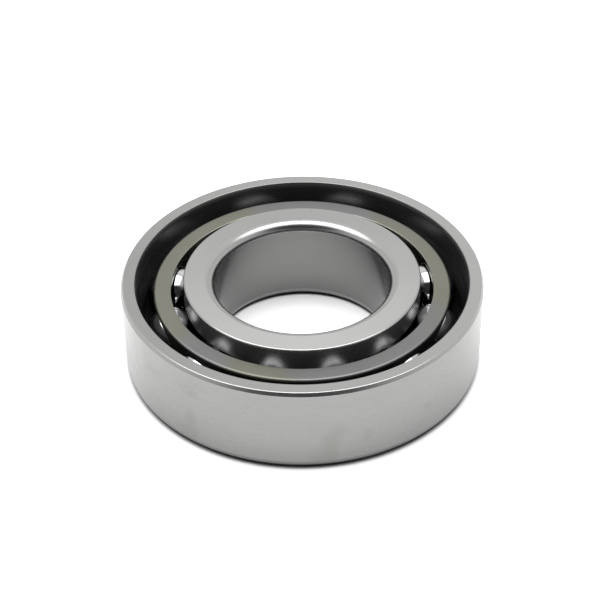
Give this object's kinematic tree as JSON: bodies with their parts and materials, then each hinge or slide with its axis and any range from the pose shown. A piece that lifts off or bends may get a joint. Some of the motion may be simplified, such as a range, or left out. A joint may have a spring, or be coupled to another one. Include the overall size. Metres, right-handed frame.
{
  "type": "angular contact ball bearing",
  "caption": "Open single-row angular contact ball bearing: ground steel inner and outer rings, a pressed-steel window cage and steel balls; carries radial load and thrust one way.",
  "frame": {"origin": "centre of the back face plane, on the bearing's axis; the bearing lies on this wide back face", "axes": "+Z along the bearing's axis, from the wide back face towards the open, counterbored face; +X to the right seen from the front; the front is -Y"},
  "size_m": [0.062, 0.062, 0.016],
  "materials": {
    "ring_steel": "fine ground bearing steel on the faces, the bore and the outside, polished in the gap between the rings",
    "cage_steel": "matt pressed sheet steel, faintly olive",
    "ball_steel": "lapped mirror-bright bearing steel"
  },
  "bodies": {
    "outer_ring": {"outer_ring": "ring_steel"},
    "inner_ring": {"inner_ring": "ring_steel"},
    "cage": {"cage": "cage_steel"},
    "ball_01": {"ball_01": "ball_steel"},
    "ball_02": {"ball_02": "ball_steel"},
    "ball_03": {"ball_03": "ball_steel"},
    "ball_04": {"ball_04": "ball_steel"},
    "ball_05": {"ball_05": "ball_steel"},
    "ball_06": {"ball_06": "ball_steel"},
    "ball_07": {"ball_07": "ball_steel"},
    "ball_08": {"ball_08": "ball_steel"},
    "ball_09": {"ball_09": "ball_steel"},
    "ball_10": {"ball_10": "ball_steel"},
    "ball_11": {"ball_11": "ball_steel"},
    "ball_12": {"ball_12": "ball_steel"}
  },
  "joints": [
    {"name": "inner_ring_spin", "type": "hinge", "parent": "outer_ring", "child": "inner_ring", "pos_m": [0, 0, 0.008], "axis": [0, 0, 1], "continuous": true},
    {"name": "cage_orbit", "type": "hinge", "parent": "outer_ring", "child": "cage", "pos_m": [0, 0, 0.008], "axis": [0, 0, 1], "continuous": true},
    {"name": "ball_01_spin", "type": "hinge", "parent": "cage", "child": "ball_01", "pos_m": [0.00595, -0.02222, 0.008], "axis": [0.1664, -0.6209, 0.766], "continuous": true},
    {"name": "ball_02_spin", "type": "hinge", "parent": "cage", "child": "ball_02", "pos_m": [0.01626, -0.01626, 0.008], "axis": [0.4545, -0.4545, 0.766], "continuous": true},
    {"name": "ball_03_spin", "type": "hinge", "parent": "cage", "child": "ball_03", "pos_m": [0.02222, -0.00595, 0.008], "axis": [0.6209, -0.1664, 0.766], "continuous": true},
    {"name": "ball_04_spin", "type": "hinge", "parent": "cage", "child": "ball_04", "pos_m": [0.02222, 0.00595, 0.008], "axis": [0.6209, 0.1664, 0.766], "continuous": true},
    {"name": "ball_05_spin", "type": "hinge", "parent": "cage", "child": "ball_05", "pos_m": [0.01626, 0.01626, 0.008], "axis": [0.4545, 0.4545, 0.766], "continuous": true},
    {"name": "ball_06_spin", "type": "hinge", "parent": "cage", "child": "ball_06", "pos_m": [0.00595, 0.02222, 0.008], "axis": [0.1664, 0.6209, 0.766], "continuous": true},
    {"name": "ball_07_spin", "type": "hinge", "parent": "cage", "child": "ball_07", "pos_m": [-0.00595, 0.02222, 0.008], "axis": [-0.1664, 0.6209, 0.766], "continuous": true},
    {"name": "ball_08_spin", "type": "hinge", "parent": "cage", "child": "ball_08", "pos_m": [-0.01626, 0.01626, 0.008], "axis": [-0.4545, 0.4545, 0.766], "continuous": true},
    {"name": "ball_09_spin", "type": "hinge", "parent": "cage", "child": "ball_09", "pos_m": [-0.02222, 0.00595, 0.008], "axis": [-0.6209, 0.1664, 0.766], "continuous": true},
    {"name": "ball_10_spin", "type": "hinge", "parent": "cage", "child": "ball_10", "pos_m": [-0.02222, -0.00595, 0.008], "axis": [-0.6209, -0.1664, 0.766], "continuous": true},
    {"name": "ball_11_spin", "type": "hinge", "parent": "cage", "child": "ball_11", "pos_m": [-0.01626, -0.01626, 0.008], "axis": [-0.4545, -0.4545, 0.766], "continuous": true},
    {"name": "ball_12_spin", "type": "hinge", "parent": "cage", "child": "ball_12", "pos_m": [-0.00595, -0.02222, 0.008], "axis": [-0.1664, -0.6209, 0.766], "continuous": true}
  ],
  "couplings": [
    {"joint": "cage_orbit", "follows": "inner_ring_spin", "ratio": 0.42069},
    {"joint": "ball_01_spin", "follows": "inner_ring_spin", "ratio": -2.3539},
    {"joint": "ball_02_spin", "follows": "inner_ring_spin", "ratio": -2.3539},
    {"joint": "ball_03_spin", "follows": "inner_ring_spin", "ratio": -2.3539},
    {"joint": "ball_04_spin", "follows": "inner_ring_spin", "ratio": -2.3539},
    {"joint": "ball_05_spin", "follows": "inner_ring_spin", "ratio": -2.3539},
    {"joint": "ball_06_spin", "follows": "inner_ring_spin", "ratio": -2.3539},
    {"joint": "ball_07_spin", "follows": "inner_ring_spin", "ratio": -2.3539},
    {"joint": "ball_08_spin", "follows": "inner_ring_spin", "ratio": -2.3539},
    {"joint": "ball_09_spin", "follows": "inner_ring_spin", "ratio": -2.3539},
    {"joint": "ball_10_spin", "follows": "inner_ring_spin", "ratio": -2.3539},
    {"joint": "ball_11_spin", "follows": "inner_ring_spin", "ratio": -2.3539},
    {"joint": "ball_12_spin", "follows": "inner_ring_spin", "ratio": -2.3539}
  ]
}
